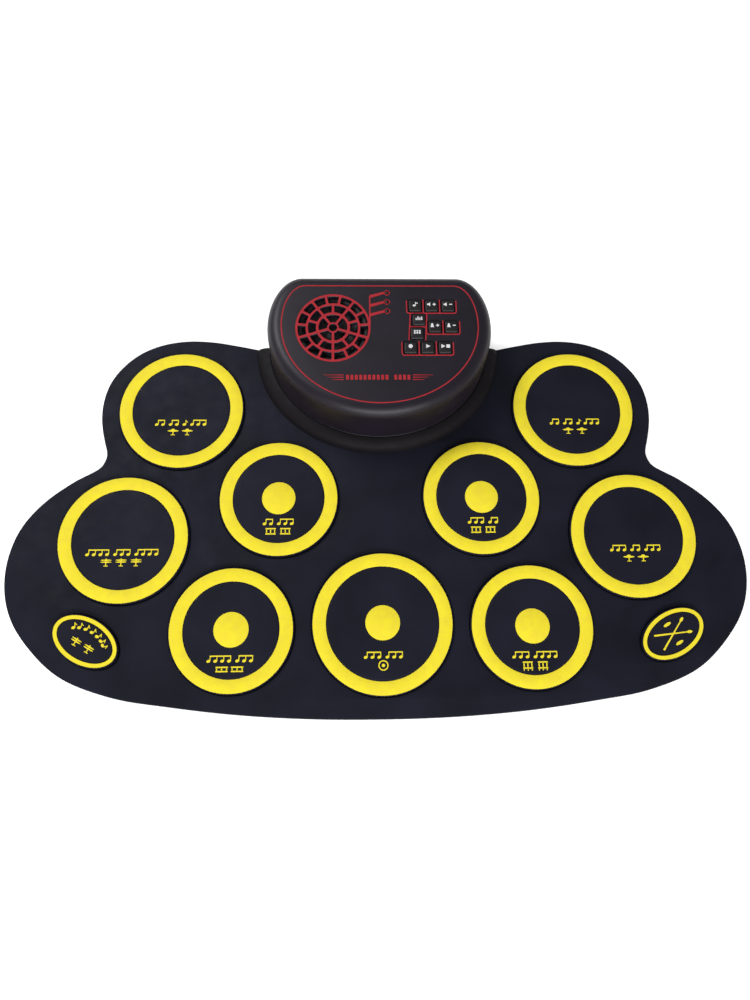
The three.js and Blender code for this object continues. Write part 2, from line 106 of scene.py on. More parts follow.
class Shader:
    """A Principled material with helpers for noise, ramps and bump. Sizes are in millimetres."""

    def __init__(self, name, roughness=0.5, specular=0.5, metallic=0.0):
        self.material = bpy.data.materials.new(name)
        self.material.use_nodes = True
        self.nodes = self.material.node_tree.nodes
        self.links = self.material.node_tree.links
        self.nodes.clear()
        self.out = self.nodes.new("ShaderNodeOutputMaterial")
        self.main = self.nodes.new("ShaderNodeBsdfPrincipled")
        self.links.new(self.main.outputs[0], self.out.inputs[0])
        self.main.inputs["Roughness"].default_value = roughness
        self.main.inputs["Specular IOR Level"].default_value = specular
        self.main.inputs["Metallic"].default_value = metallic
        self.place = self.nodes.new("ShaderNodeTexCoord").outputs["Object"]
        self.normal = None

    def noise(self, size, detail=3.0, stretch=(1, 1, 1)):
        mapping = self.nodes.new("ShaderNodeMapping")
        mapping.inputs["Scale"].default_value = [s / (size * MM) for s in stretch]
        self.links.new(self.place, mapping.inputs["Vector"])
        node = self.nodes.new("ShaderNodeTexNoise")
        node.inputs["Scale"].default_value = 1
        node.inputs["Detail"].default_value = detail
        self.links.new(mapping.outputs[0], node.inputs["Vector"])
        return node.outputs["Fac"]

    def cells(self, size):
        node = self.nodes.new("ShaderNodeTexVoronoi")
        node.inputs["Scale"].default_value = 1 / (size * MM)
        self.links.new(self.place, node.inputs["Vector"])
        return node.outputs["Distance"]

    def ramp(self, source, stops):
        node = self.nodes.new("ShaderNodeValToRGB")
        while len(node.color_ramp.elements) < len(stops):
            node.color_ramp.elements.new(0.5)
        for element, (place, value) in zip(node.color_ramp.elements, stops):
            element.position = place
            element.color = value if isinstance(value, tuple) else (value, value, value, 1)
        self.links.new(source, node.inputs[0])
        return node.outputs[0]

    def colour(self, source, stops):
        self.links.new(self.ramp(source, stops), self.main.inputs["Base Color"])

    def rough(self, source, stops):
        self.links.new(self.ramp(source, stops), self.main.inputs["Roughness"])

    def bump(self, source, depth, strength=1.0):
        node = self.nodes.new("ShaderNodeBump")
        node.inputs["Strength"].default_value = strength
        node.inputs["Distance"].default_value = depth * MM
        self.links.new(source, node.inputs["Height"])
        if self.normal:
            self.links.new(self.normal, node.inputs["Normal"])
        self.normal = node.outputs[0]
        self.links.new(self.normal, self.main.inputs["Normal"])

    def set(self, **sockets):
        for name, value in sockets.items():
            self.main.inputs[name.replace("_", " ")].default_value = value
        return self


def shades(shader, size, dark, light, spread=0.18):
    """Colour drifting between two close tones over patches of the given size."""
    shader.colour(shader.noise(size), [(0.5 - spread, linear(dark)), (0.5 + spread, linear(light))])


def silicone(name, dark, light, grain, depth):
    shader = Shader(name, 0.62, 0.14)
    shades(shader, 34, dark, light)
    shader.rough(shader.noise(9), [(0.3, 0.56), (0.7, 0.7)])
    shader.bump(shader.noise(grain, 4), depth, 0.8)
    shader.bump(shader.cells(grain * 1.6), depth * 0.5, 0.5)
    return shader.material


def moulded(name, dark, light, roughness=0.42, grain=0.32, depth=0.018, specular=0.4):
    shader = Shader(name, roughness, specular)
    shades(shader, 22, dark, light)
    shader.rough(shader.noise(1.5), [(0.3, roughness - 0.02), (0.7, roughness + 0.03)])
    shader.bump(shader.cells(grain), depth, 0.7)
    shader.bump(shader.noise(grain * 3), depth, 0.4)
    return shader.material


def ink(name, dark, light, roughness=0.5, specular=0.3):
    shader = Shader(name, roughness, specular)
    shades(shader, 5, dark, light, 0.25)
    shader.rough(shader.noise(2.5), [(0.3, roughness - 0.06), (0.7, roughness + 0.1)])
    shader.bump(shader.noise(0.35, 3), 0.012, 0.6)
    return shader.material


def metal(name, tone, roughness, stretch=(1, 1, 12)):
    shader = Shader(name, roughness, 0.5, 1.0)
    shades(shader, 4, tone, "D4D5D8", 0.3)
    shader.rough(shader.noise(0.6, 2, stretch), [(0.3, roughness - 0.08), (0.7, roughness + 0.12)])
    shader.bump(shader.noise(0.5, 2, stretch), 0.006, 0.5)
    return shader.material


def glossy_lens(name, dark, light):
    shader = Shader(name, 0.25, 0.35)
    shades(shader, 1.2, dark, light, 0.2)
    shader.rough(shader.noise(0.8), [(0.3, 0.2), (0.7, 0.32)])
    shader.bump(shader.noise(0.7), 0.01, 0.3)
    return shader.set(Coat_Weight=0.2, Coat_Roughness=0.1).material


def board(name):
    shader = Shader(name, 0.35, 0.5)
    tracks = shader.noise(3.2, 1)
    shader.colour(tracks, [(0.47, linear("14532E")), (0.5, linear("1F7A42"))])
    shader.rough(shader.noise(2), [(0.3, 0.28), (0.7, 0.45)])
    shader.bump(tracks, 0.03, 0.4)
    return shader.material


MAT = silicone("mat_silicone", "12121D", "191A28", 0.42, 0.03)
PAD = silicone("pad_silicone", "13131F", "1A1B29", 0.5, 0.02)
CASE = moulded("case_plastic", "17121C", "1D1723", 0.43, 0.32, 0.012, 0.33)
UNDER = moulded("underside_plastic", "141217", "1B181E", 0.55, 0.5, 0.03)
COLLAR = silicone("collar_rubber", "121013", "181518", 0.6, 0.03)
KEY = moulded("key_rubber", "0C0B0E", "141317", 0.5, 0.3, 0.01)
FOOT = silicone("foot_rubber", "0D0D0E", "151516", 0.8, 0.05)
BLACK = moulded("black_plastic", "0A0A0B", "121213", 0.38, 0.4, 0.01)
YELLOW = ink("yellow_print", "ECD83A", "F6E432", 0.6, 0.1)
RED = ink("red_print", "A62A32", "B03038", 0.6, 0.1)
WHITE = ink("white_print", "D6D6D8", "EDEDEF")
STEEL = metal("bright_steel", "A9ABAF", 0.3)
LENS = glossy_lens("lamp_lens", "160305", "2A0608")
FILM = glossy_lens("sensor_film", "8C8468", "A89F80")
BOARD = board("circuit_board")
PAPER = moulded("cone_paper", "1A1A1D", "2A2A2E", 0.6, 0.25, 0.05)


# ---------- mesh tools: every piece is (points, faces) until it is made ----------
def joined(*pieces):
    points, faces = [], []
    for more_points, more_faces in pieces:
        start = len(points)
        points.extend(more_points)
        faces.extend(tuple(start + i for i in face) for face in more_faces)
    return points, faces


def loft(rings, ends=True, around=False):
    """Faces between rings of equal length. ends caps the first and last ring; around joins them."""
    count = len(rings[0])
    points = [Vector(p) for ring in rings for p in ring]
    faces = []
    spans = len(rings) if around else len(rings) - 1
    for r in range(spans):
        a, b = r * count, ((r + 1) % len(rings)) * count
        for i in range(count):
            j = (i + 1) % count
            faces.append((a + i, a + j, b + j, b + i))
    if ends and not around:
        faces.append(tuple(reversed(range(count))))
        faces.append(tuple(range(len(points) - count, len(points))))
    return points, faces


def turned(profile, centre, sides=96):
    """A piece turned about a vertical axis, from (radius, z) pairs in mm that start and end on the
    axis, or run round a ring off it."""
    inside = [p for p in profile if p[0] > 1e-6]
    rings = []
    for r, z in inside:
        ring = []
        for i in range(sides):
            a = 2 * math.pi * i / sides
            ring.append((centre[0] + r * MM * math.cos(a), centre[1] + r * MM * math.sin(a), z * MM))
        rings.append(ring)
    on_axis = profile[0][0] < 1e-6
    return loft(rings, ends=on_axis, around=not on_axis)


def moved_loop(loop, distance):
    """A closed loop of (x, y) moved outwards by distance if it runs counter-clockwise."""
    count = len(loop)
    result = []
    for i, (x, y) in enumerate(loop):
        ax, ay = loop[i - 1]
        bx, by = loop[(i + 1) % count]
        tx, ty = bx - ax, by - ay
        size = math.hypot(tx, ty) or 1.0
        result.append((x + ty / size * distance, y - tx / size * distance))
    return result


def area(loop):
    return sum(loop[i - 1][0] * y - x * loop[i - 1][1] for i, (x, y) in enumerate(loop)) / 2


def counter_clockwise(loop):
    return list(loop) if area(loop) > 0 else list(reversed(loop))


def edge_levels(z0, z1, bottom, top, steps):
    """(inset, z) up the side of a plate whose lower and upper edges are rounded."""
    if top == 0 and bottom == 0:
        return [(0, z0), (0, z1)]
    turns = [math.pi / 2 * k / steps for k in range(steps + 1)]
    lower = [(bottom * (1 - math.sin(a)), z0 + bottom * (1 - math.cos(a))) for a in turns]
    return lower + [(top * (1 - math.cos(a)), z1 - top * (1 - math.sin(a))) for a in turns]


def plate(loops, z0, z1, edge=0.0, steps=3, bottom_edge=None, hole_edge=None):
    """A flat plate with rounded edges. The first loop is its outline and the others are holes."""
    bottom_edge = edge if bottom_edge is None else bottom_edge
    hole_edge = edge if hole_edge is None else hole_edge
    points, faces, caps = [], [], [[], []]
    for n, loop in enumerate(loops):
        loop = counter_clockwise(loop)
        inwards = 1 if n else -1
        rings = []
        for inset, z in edge_levels(z0, z1, bottom_edge, hole_edge if n else edge, steps):
            rings.append([Vector((x, y, z)) for x, y in moved_loop(loop, inwards * inset)])
        start = len(points)
        more, sides = loft(rings, ends=False)
        points.extend(more)
        faces.extend(tuple(start + i for i in f) for f in sides)
        count = len(loop)
        caps[0].append(list(range(start, start + count)))
        caps[1].append(list(range(len(points) - count, len(points))))
    for cap in caps:
        flat = [i for ring in cap for i in ring]
        for tri in tessellate_polygon([[points[i] for i in ring] for ring in cap]):
            faces.append(tuple(flat[i] for i in tri))
    return points, faces


LIFT = itertools.cycle(k * 0.006 * MM for k in range(11))  # keeps the tops of crossing prints apart


def ribbon(path, width, z, height=0.12 * MM, closed=False):
    """A raised printed line along (x, y) points."""
    count = len(path)
    height += next(LIFT)
    soft = min(height * 0.5, width * 0.2)
    half = width / 2
    section = [(-half, -0.02 * MM), (-half, height - soft), (-half + soft, height),
               (half - soft, height), (half, height - soft), (half, -0.02 * MM)]
    rings = []
    for i, (x, y) in enumerate(path):
        ax, ay = path[i - 1] if (i or closed) else path[i]
        bx, by = path[(i + 1) % count] if (i < count - 1 or closed) else path[i]
        size = math.hypot(bx - ax, by - ay) or 1.0
        nx, ny = -(by - ay) / size, (bx - ax) / size
        rings.append([(x + nx * s, y + ny * s, z + h) for s, h in section])
    return loft(rings, ends=not closed, around=closed)


def arc(cx, cy, rx, ry, start, end, steps):
    angles = [math.radians(start + (end - start) * i / steps) for i in range(steps + 1)]
    return [(cx + rx * math.cos(a), cy + ry * math.sin(a)) for a in angles]


def circle(cx, cy, r, steps=48):
    return arc(cx, cy, r, r, 0, 360, steps)[:-1]


def rounded_rect(cx, cy, wx, wy, r, steps=5):
    x, y = wx / 2 - r, wy / 2 - r
    loop = []
    for quarter, (sx, sy) in enumerate([(1, 1), (-1, 1), (-1, -1), (1, -1)]):
        loop += arc(cx + sx * x, cy + sy * y, r, r, 90 * quarter, 90 * quarter + 90, steps)
    return loop


def soft_corners(loop, r, steps=4):
    """Rounds the sharp corners of a loop."""
    result = []
    for i, point in enumerate(loop):
        p = Vector(point)
        a, b = Vector(loop[i - 1]) - p, Vector(loop[(i + 1) % len(loop)]) - p
        turn = math.pi - a.angle(b)
        if turn < 0.5:
            result.append(tuple(p))
            continue
        reach = min(r, a.length * 0.45, b.length * 0.45)
        first, last = p + a.normalized() * reach, p + b.normalized() * reach
        for k in range(steps + 1):
            t = k / steps
            q = first * (1 - t) ** 2 + p * 2 * t * (1 - t) + last * t ** 2
            result.append(tuple(q))
    return result


def turned_by(loop, centre, angle):
    c, s = math.cos(angle), math.sin(angle)
    return [(centre[0] + x * c - y * s, centre[1] + x * s + y * c) for x, y in loop]


def mesh_object(name, data, material, smooth=32):
    mesh = bpy.data.meshes.new(name)
    points, faces = data
    mesh.from_pydata([tuple(p) for p in points], [], faces)
    tidy = bmesh.new()
    tidy.from_mesh(mesh)
    bmesh.ops.remove_doubles(tidy, verts=tidy.verts, dist=1e-7)
    bmesh.ops.recalc_face_normals(tidy, faces=tidy.faces)
    tidy.to_mesh(mesh)
    tidy.free()
    mesh.materials.append(material)
    obj = bpy.data.objects.new(name, mesh)
    bpy.context.scene.collection.objects.link(obj)
    soften(obj, smooth)
    return obj


def soften(obj, angle=32):
    obj.data.shade_smooth()
    obj.data.set_sharp_from_angle(angle=math.radians(angle))


def piece(name, data, material, body=ROOT, nodes=(), smooth=32):
    obj = mesh_object(name, data, material, smooth)
    return declare(obj, body, nodes)


def declare(obj, body=ROOT, nodes=()):
    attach(obj, body)
    if nodes:
        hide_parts(*nodes)
    return obj


def carve(obj, tool_data, operation="DIFFERENCE"):
    """Cuts or adds closed solids and applies the result to the mesh."""
    tool = mesh_object("tool", tool_data, obj.data.materials[0])
    modifier = obj.modifiers.new("carve", "BOOLEAN")
    modifier.operation = operation
    modifier.solver = "EXACT"
    modifier.use_self = True
    modifier.object = tool
    graph = bpy.context.evaluated_depsgraph_get()
    result = bpy.data.meshes.new_from_object(obj.evaluated_get(graph))
    obj.modifiers.remove(modifier)
    obj.data = result
    bpy.data.objects.remove(tool)
    soften(obj)


def block(x0, x1, y0, y1, z0, z1):
    """A box, in mm."""
    corners = [(x0, y0), (x1, y0), (x1, y1), (x0, y1)]
    return loft([[(x * MM, y * MM, z * MM) for x, y in corners] for z in (z0, z1)])


def upright(centre, r, z0, z1, sides=40):
    """A cylinder about a vertical axis, with its radius and heights in mm."""
    return turned([(0, z0), (r, z0), (r, z1), (0, z1)], centre, sides)


# ---------- mat ----------
def node_outline(node):
    """The outline of a flat node's underside, in order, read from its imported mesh."""
    source = bmesh.new()
    source.from_mesh(frame["nodes"][node].data)
    bmesh.ops.remove_doubles(source, verts=source.verts, dist=1e-7)
    under = {f for f in source.faces if f.normal.z < -0.9}
    steps = {}
    for face in under:
        for loop in face.loops:
            others = [f for f in loop.edge.link_faces if f in under]
            if len(others) == 1:
                steps[loop.vert.index] = loop.link_loop_next.vert.index
    source.verts.ensure_lookup_table()
    start = min(steps)
    order, at = [start], steps[start]
    while at != start:
        order.append(at)
        at = steps[at]
    outline = [(source.verts[i].co.x, source.verts[i].co.y) for i in order]
    source.free()
    return counter_clockwise(outline)


def finer(loop, rounds=2):
    """Smooths a loop through its own points, keeping corners sharper than 50 degrees."""
    for _ in range(rounds):
        count = len(loop)
        at = [Vector(p) for p in loop]
        sharp = []
        for i in range(count):
            a, b = at[i] - at[i - 1], at[(i + 1) % count] - at[i]
            sharp.append(a.angle(b, 0) > math.radians(50))
        result = []
        for i in range(count):
            j = (i + 1) % count
            before = at[i] if sharp[i] else at[i - 1]
            after = at[j] if sharp[j] else at[(j + 1) % count]
            between = (at[i] + at[j]) * 0.5625 - (before + after) * 0.0625
            result += [tuple(at[i]), tuple(between)]
        loop = result
    return loop


ROUND_PADS = ["crash_pad_left", "crash_pad_right", "hi_hat_pad", "ride_pad", "high_tom_pad",
              "low_tom_pad", "snare_pad", "floor_tom_pad", "bass_pad"]
DOTTED = ROUND_PADS[4:]
OVALS = {"closed_hi_hat_pad": -1, "badge_plate": 1}
OVAL_RX, OVAL_RY, OVAL_TILT = 21.5 * MM, 13.7 * MM, math.radians(30)
WELL_GAP = 0.4 * MM


def pad_radius(name):
    return (high(name).x - low(name).x) / 2


def oval(name, grow=0.0, steps=96):
    centre = middle(name)
    loop = arc(0, 0, OVAL_RX + grow, OVAL_RY + grow, 0, 360, steps)[:-1]
    return turned_by(loop, centre, OVALS[name] * OVAL_TILT)


def make_mat():
    outline = finer(node_outline("mat_base"))
    wells = [circle(*middle(name).xy, pad_radius(name) + WELL_GAP, 96) for name in ROUND_PADS]
    wells += [oval(name, WELL_GAP) for name in OVALS]
    base_top, skin_top = high("mat_base").z + 0.1 * MM, high("mat_skin").z
    underside = plate([outline], 0, base_top, 0.25 * MM)
    piece("mat_underside", underside, MAT, nodes=["mat_base"])
    surface = plate([outline] + wells, base_top + 0.12 * MM, skin_top, 0.9 * MM, 5, 0.2 * MM, 0.3 * MM)
    # The skin closes each well just above the film, clear of the pad when it is struck.
    floor = high("sensor_film").z + 0.05 * MM
    floors = [plate([moved_loop(well, 0.3 * MM)], floor, floor + 0.2 * MM) for well in wells]
    piece("mat_surface", joined(surface, *floors), MAT, nodes=["mat_skin"])


make_mat()


# ---------- striking pads ----------
BAND = 7.9  # width of the yellow band, mm
RIM = 0.8  # black edge outside the band, mm
DOT_R = 10.4  # radius of the yellow dot, mm
INK = 0.12  # height of a print, mm


def make_round_pad(name):
    centre = middle(name)
    r = pad_radius(name) / MM
    bottom, top = low(name).z / MM, high(name).z / MM
    outer, inner = r - RIM, r - RIM - BAND
    profile = [(0, bottom), (r - 0.5, bottom), (r - 0.1, bottom + 0.3), (r, bottom + 0.8),
               (r - 0.05, top - 0.65)]
    for k in range(5):
        a = math.radians(18 * k + 10)
        profile.append((r - 0.65 + 0.6 * math.cos(a), top - 0.6 + 0.6 * math.sin(a)))
    profile += [(outer, top), (inner, top), (inner - 0.12, top - 0.04), (inner - 0.3, top - 0.22),
                (inner - 0.5, top - 0.22), (inner - 0.8, top - 0.04), (inner - 1.4, top)]
    profile += [(inner - 4, top), (inner / 2, top + 0.02), (0.4, top + 0.03), (0, top + 0.03)]
    piece(name + "_disc", turned(profile, centre, 128), PAD, name, [name])
    z = top * MM
    band = turned([(inner, top - 0.02), (outer, top - 0.02), (outer, top + INK * 0.6),
                   (outer - 0.1, top + INK), (inner + 0.1, top + INK), (inner, top + INK * 0.6)],
                  centre, 128)
    prints = [band]
    if name in DOTTED:
        dot = [(0, top - 0.02), (DOT_R, top - 0.02), (DOT_R, top + INK * 0.6), (DOT_R - 0.1, top + INK),
               (0, top + INK)]
        prints.append(turned(dot, centre, 72))
    prints += [printed(loops, z + 0.02 * MM) for loops in pad_marks(name)]
    piece(name + "_print", joined(*prints), YELLOW, name)


def printed(loops, z, height=INK * MM):
    return plate(loops, z - 0.03 * MM, z + height + next(LIFT), height * 0.3, 1, 0.0)


def shape(points, place, turn=0.0, size=1.0):
    """A loop given in mm about its own centre, put at place and turned."""
    return turned_by([(x * size * MM, y * size * MM) for x, y in points], place, turn)


def bar(cx, cy, wx, wy, place, turn=0.0):
    return shape(rounded_rect(cx, cy, wx, wy, min(wx, wy) * 0.3, 3), place, turn)


def cymbal_icon(place, turn=0.0):
    return [[shape(arc(0, 0.4, 3.5, 0.6, 0, 360, 28)[:-1], place, turn)],
            [shape(arc(0, 0.98, 1.2, 0.8, 0, 180, 14), place, turn)],
            [bar(0, -1.35, 0.65, 2.2, place, turn)], [bar(0, -2.3, 2.6, 0.5, place, turn)]]


def hat_icon(place, turn=0.0):
    plates = [[shape(arc(0, y, 3.3, 0.42, 0, 360, 28)[:-1], place, turn)] for y in (1.3, 0.1)]
    return plates + [[bar(0, 0.1, 0.6, 4.6, place, turn)], [bar(0, -2.3, 2.6, 0.5, place, turn)]]


def drum_icon(place, wide=5.6, tall=3.3, legs=0):
    shapes = [[bar(0, tall / 2, wide + 0.8, 0.8, place)], [bar(0, -tall / 2, wide + 0.8, 0.8, place)]]
    for x in (-0.5, 0, 0.5):
        shapes.append([bar(x * (wide - 0.6), 0, 0.7, tall - 1.1, place)])
    for k in range(legs):
        shapes.append([bar((k - (legs - 1) / 2) * wide * 0.45, -tall / 2 - 1.0, 0.6, 1.0, place)])
    return shapes


def snare_icon(place):
    return drum_icon(place, 6.4, 2.4)


def floor_icon(place):
    return drum_icon(place, 5.2, 3.4, 3)


def kick_icon(place):
    shapes = [[shape(circle(0, 0, 3.0, 36), place), shape(circle(0, 0, 2.3, 36), place)]]
    return shapes + [[shape(circle(0, 0, 1.0, 20), place)]]


# Under each pad's centre: a beat written as groups of joined notes, its distance from the centre,
# and how many pictures of the instrument stand under it.
LABELS = {
    "crash_pad_left": ((2, 2, 1, 3), 9.0, 2, cymbal_icon),
    "crash_pad_right": ((2, 2, 1, 3), 9.0, 2, cymbal_icon),
    "hi_hat_pad": ((4, 3, 4), 8.3, 3, hat_icon), "ride_pad": ((3, 2, 3), 8.3, 2, cymbal_icon),
    "high_tom_pad": ((2, 3), 15.2, 2, drum_icon), "low_tom_pad": ((3, 2), 15.2, 2, drum_icon),
    "snare_pad": ((4, 3), 16.8, 2, snare_icon), "floor_tom_pad": ((3, 4), 16.8, 2, floor_icon),
    "bass_pad": ((3, 3), 18.8, 1, kick_icon),
}
NOTE_STEP = 4.0  # from note to note, mm
GROUP_GAP = 0.8  # extra room between two groups, mm
ICON_STEP = 9.0  # from picture to picture, mm
ICON_DROP = 6.0  # from the beat down to the pictures, mm


def note_group(count, x, place, turn=0.0):
    """Notes joined by a beam, from x on, in mm about place."""
    shapes = []
    for k in range(count):
        head = turned_by(arc(0, 0, 1.15, 0.85, 0, 360, 16)[:-1], (0, 0), math.radians(18))
        head = [(px + x + k * NOTE_STEP, py - 1.25) for px, py in head]
        shapes.append([shape(head, place, turn)])
        shapes.append([bar(x + k * NOTE_STEP + 0.92, 0.3, 0.5, 3.0, place, turn)])
    if count > 1:
        reach = (count - 1) * NOTE_STEP
        shapes.append([bar(x + reach / 2 + 0.92, 1.6, reach + 0.5, 0.75, place, turn)])
    else:
        flag = [(0.7, 1.9), (0.7, 1.1), (2.0, 0.1), (2.4, 0.3)]
        shapes.append([shape([(px + x, py) for px, py in flag], place, turn)])
    return shapes


def pad_marks(name):
    """A beat and small pictures of the instrument, where a real pad is labelled."""
    groups, drop, icons, icon = LABELS[name]
    centre = middle(name).xy
    width = (sum(groups) - 1) * NOTE_STEP + (len(groups) - 1) * GROUP_GAP
    x, marks = -width / 2, []
    for count in groups:
        marks += note_group(count, x, (centre[0], centre[1] - drop * MM))
        x += count * NOTE_STEP + GROUP_GAP
    for k in range(icons):
        offset = (k - (icons - 1) / 2) * ICON_STEP * MM
        marks += icon((centre[0] + offset, centre[1] - (drop + ICON_DROP) * MM))
    return marks


for pad_name in ROUND_PADS:
    make_round_pad(pad_name)


OVAL_BAND_END = 3.1  # from the oval's edge to the inside of its yellow band, mm
OVAL_GROOVE = 3.3  # from the oval's edge to the middle of its groove, mm


def make_oval(name):
    centre, side = middle(name).xy, OVALS[name]
    body = name if name in frame["bodies"] else ROOT
    bottom, top = low(name).z, high(name).z
    groove = oval(name, -OVAL_GROOVE * MM)
    disc = piece(name + "_disc", plate([oval(name)], bottom, top, 0.6 * MM, 4, 0.2 * MM),
                 PAD, body, [name])
    carve(disc, ribbon_tool(groove, 0.5 * MM, top - 0.2 * MM))
    turn = side * OVAL_TILT
    shapes = [[oval(name, -RIM * MM), oval(name, -OVAL_BAND_END * MM)]]
    shapes += stick_badge(centre, turn) if side > 0 else closed_hat_marks(centre, turn)
    piece(name + "_print", joined(*[printed(loops, top) for loops in shapes]), YELLOW, body)


def ribbon_tool(loop, width, z):
    """A closed ring of square section to cut a groove down to z."""
    sections = [(-width / 2, z), (width / 2, z), (width / 2, z + 1 * MM), (-width / 2, z + 1 * MM)]
    rings = [[(x, y, h) for x, y in moved_loop(loop, s)] for s, h in sections]
    return loft(rings, ends=False, around=True)


def closed_hat_marks(centre, turn):
    shapes = []
    for k in range(7):
        a = math.radians(140 - 19 * k)
        place = turned_by([(13.4 * MM * math.cos(a), 7.4 * MM * math.sin(a))], centre, turn)[0]
        tangent = math.atan2(7.4 * math.cos(a), -13.4 * math.sin(a)) + math.pi + turn
        shapes += note_group(1, -0.9, place, tangent)
    for x in (-4.4, 4.4):
        shapes += hat_icon(turned_by([(x * MM, -2.6 * MM)], centre, turn)[0], turn)
    return shapes


def stick_badge(centre, turn):
    """Two crossed sticks, with a small oval on each side of the crossing."""
    shapes = []
    for sign in (-1, 1):
        lean = sign * math.radians(24) + turn
        shapes.append([shape([(-12, -0.55), (9, -0.35), (9, 0.35), (-12, 0.55)], centre, lean)])
        tip = turned_by([(10.2 * MM, 0)], centre, lean)[0]
        shapes.append([shape(arc(0, 0, 1.7, 0.85, 0, 360, 20)[:-1], tip, lean)])
    for k in (-1, 1):
        place = turned_by([(0, k * 6.2 * MM)], centre, turn)[0]
        shapes.append([shape(arc(0, 0, 2.6, 0.9, 0, 360, 24)[:-1], place, turn)])
    return shapes


for oval_name in OVALS:
    make_oval(oval_name)


# ---------- console ----------
WIDEST_Y = 100.0  # mm, where the D is widest
CORNER_X = 49.0  # mm, where the rear corners begin
CASE_HALF = high("bottom_case").x / MM
CASE_REAR = high("bottom_case").y / MM
CASE_FRONT = low("bottom_case").y / MM
SEAM_Z = 12.0  # height of the joint between the two case halves, mm
TOP_Z = high("top_case").z / MM
TAPER = 0.02  # how much narrower the top case is at its top
WALL = 2.2  # thickness of the case's walls, mm
TOP_ROUND = 7.5  # radius of the top edge, mm


def d_loop(half, rear, front, corner=CORNER_X, widest=WIDEST_Y, fine=96):
    """A D, straight at the rear and half an ellipse in front, given in mm and returned in metres."""
    loop = arc(0, widest, half, widest - front, 180, 360, fine)[:-1]
    loop += arc(corner, widest, half - corner, rear - widest, 0, 90, fine // 4)
    loop += arc(-corner, widest, half - corner, rear - widest, 90, 180, fine // 4)[:-1]
    return [(x * MM, y * MM) for x, y in loop]


def d_ring(inset, z, taper=TAPER):
    scale = 1 - taper * (z - SEAM_Z) / (TOP_Z - SEAM_Z)
    loop = d_loop(CASE_HALF - inset, CASE_REAR - inset, CASE_FRONT + inset)
    wide = WIDEST_Y * MM
    return [(x * scale, wide + (y - wide) * scale, z * MM) for x, y in loop]


def rounded_levels(inset, top, r, steps):
    """(inset, z) up a wall's rounded top edge."""
    levels = []
    for k in range(steps + 1):
        a = math.pi / 2 * k / steps
        levels.append((inset + r * (1 - math.cos(a)), top - r * (1 - math.sin(a))))
    return levels


SPEAKER = middle("speaker_cone").xy
# Rings of the grille: opening count, inner and outer radius in mm, and shift in openings.
GRILLE = [(15, 16.85, 21.3, 0), (10, 10.65, 15.0, 0.5), (5, 3.82, 8.57, 0)]
WEB = 2.0  # width of the bars between the openings, mm
HUB_R = 2.3  # radius of the opening in the grille's middle, mm
GRILLE_R = 22.9  # radius of the red print round the grille, mm
KEY_OPENING = (8.8, 8.3)  # x and y, mm
KEY_SIZE = (8.2, 7.7)  # x and y, mm
LAMP_HOLE_R = 1.4  # mm
KEYS = [n for n in frame["nodes"] if n.startswith("key_")]
LAMPS = [n for n in frame["nodes"] if n.startswith("lamp_")]


def grille_openings(grow=0.0):
    loops = [circle(SPEAKER.x, SPEAKER.y, (HUB_R + grow) * MM, 32)]
    for count, inner, outer, shift in GRILLE:
        for i in range(count):
            centre = 90 + 360 * (i + shift) / count
            reach = [180 / count - math.degrees(math.asin(WEB / 2 / r)) for r in (outer, inner)]
            loop = arc(0, 0, outer, outer, centre - reach[0], centre + reach[0], 8)
            loop += arc(0, 0, inner, inner, centre + reach[1], centre - reach[1], 6)
            loop = soft_corners([(x * MM, y * MM) for x, y in loop], 0.5 * MM, 3)
            loop = [(SPEAKER.x + x, SPEAKER.y + y) for x, y in loop]
            loops.append(moved_loop(loop, grow * MM))
    return loops


def flared(loop, flare=0.25):
    """A cutter through the console's top that widens at the surface."""
    z = [TOP_Z - WALL - 2, TOP_Z - flare, TOP_Z + 0.05, TOP_Z + 2]
    out = [0, 0, flare + 0.05, flare + 0.05]
    loop = counter_clockwise(loop)
    return loft([[(x, y, h * MM) for x, y in moved_loop(loop, o * MM)] for h, o in zip(z, out)])


def key_opening(name):
    c = middle(name)
    return rounded_rect(c.x, c.y, KEY_OPENING[0] * MM, KEY_OPENING[1] * MM, 1.2 * MM)


JACKS = ["headphone_jack", "audio_in_jack", "sustain_pedal_jack", "bass_pedal_jack"]
JACK_Z = 30.0  # height of the sockets' axes, mm
JACK_HOLE_R = 3.3  # mm
USB_SLOT = (8.6, 4.6)  # x and z, mm
SWITCH_SLOT = (9.0, 3.6)  # x and z, mm


def along_y(node, profile, sides=40):
    """A turned piece about a jack's axis; profile holds (radius, y) pairs in mm."""
    centre = middle(node)
    height = JACK_Z * MM
    points, faces = turned([(r, -y) for r, y in profile], (0, 0), sides)
    return [Vector((p[0] + centre.x, -p[2], p[1] + height)) for p in points], faces


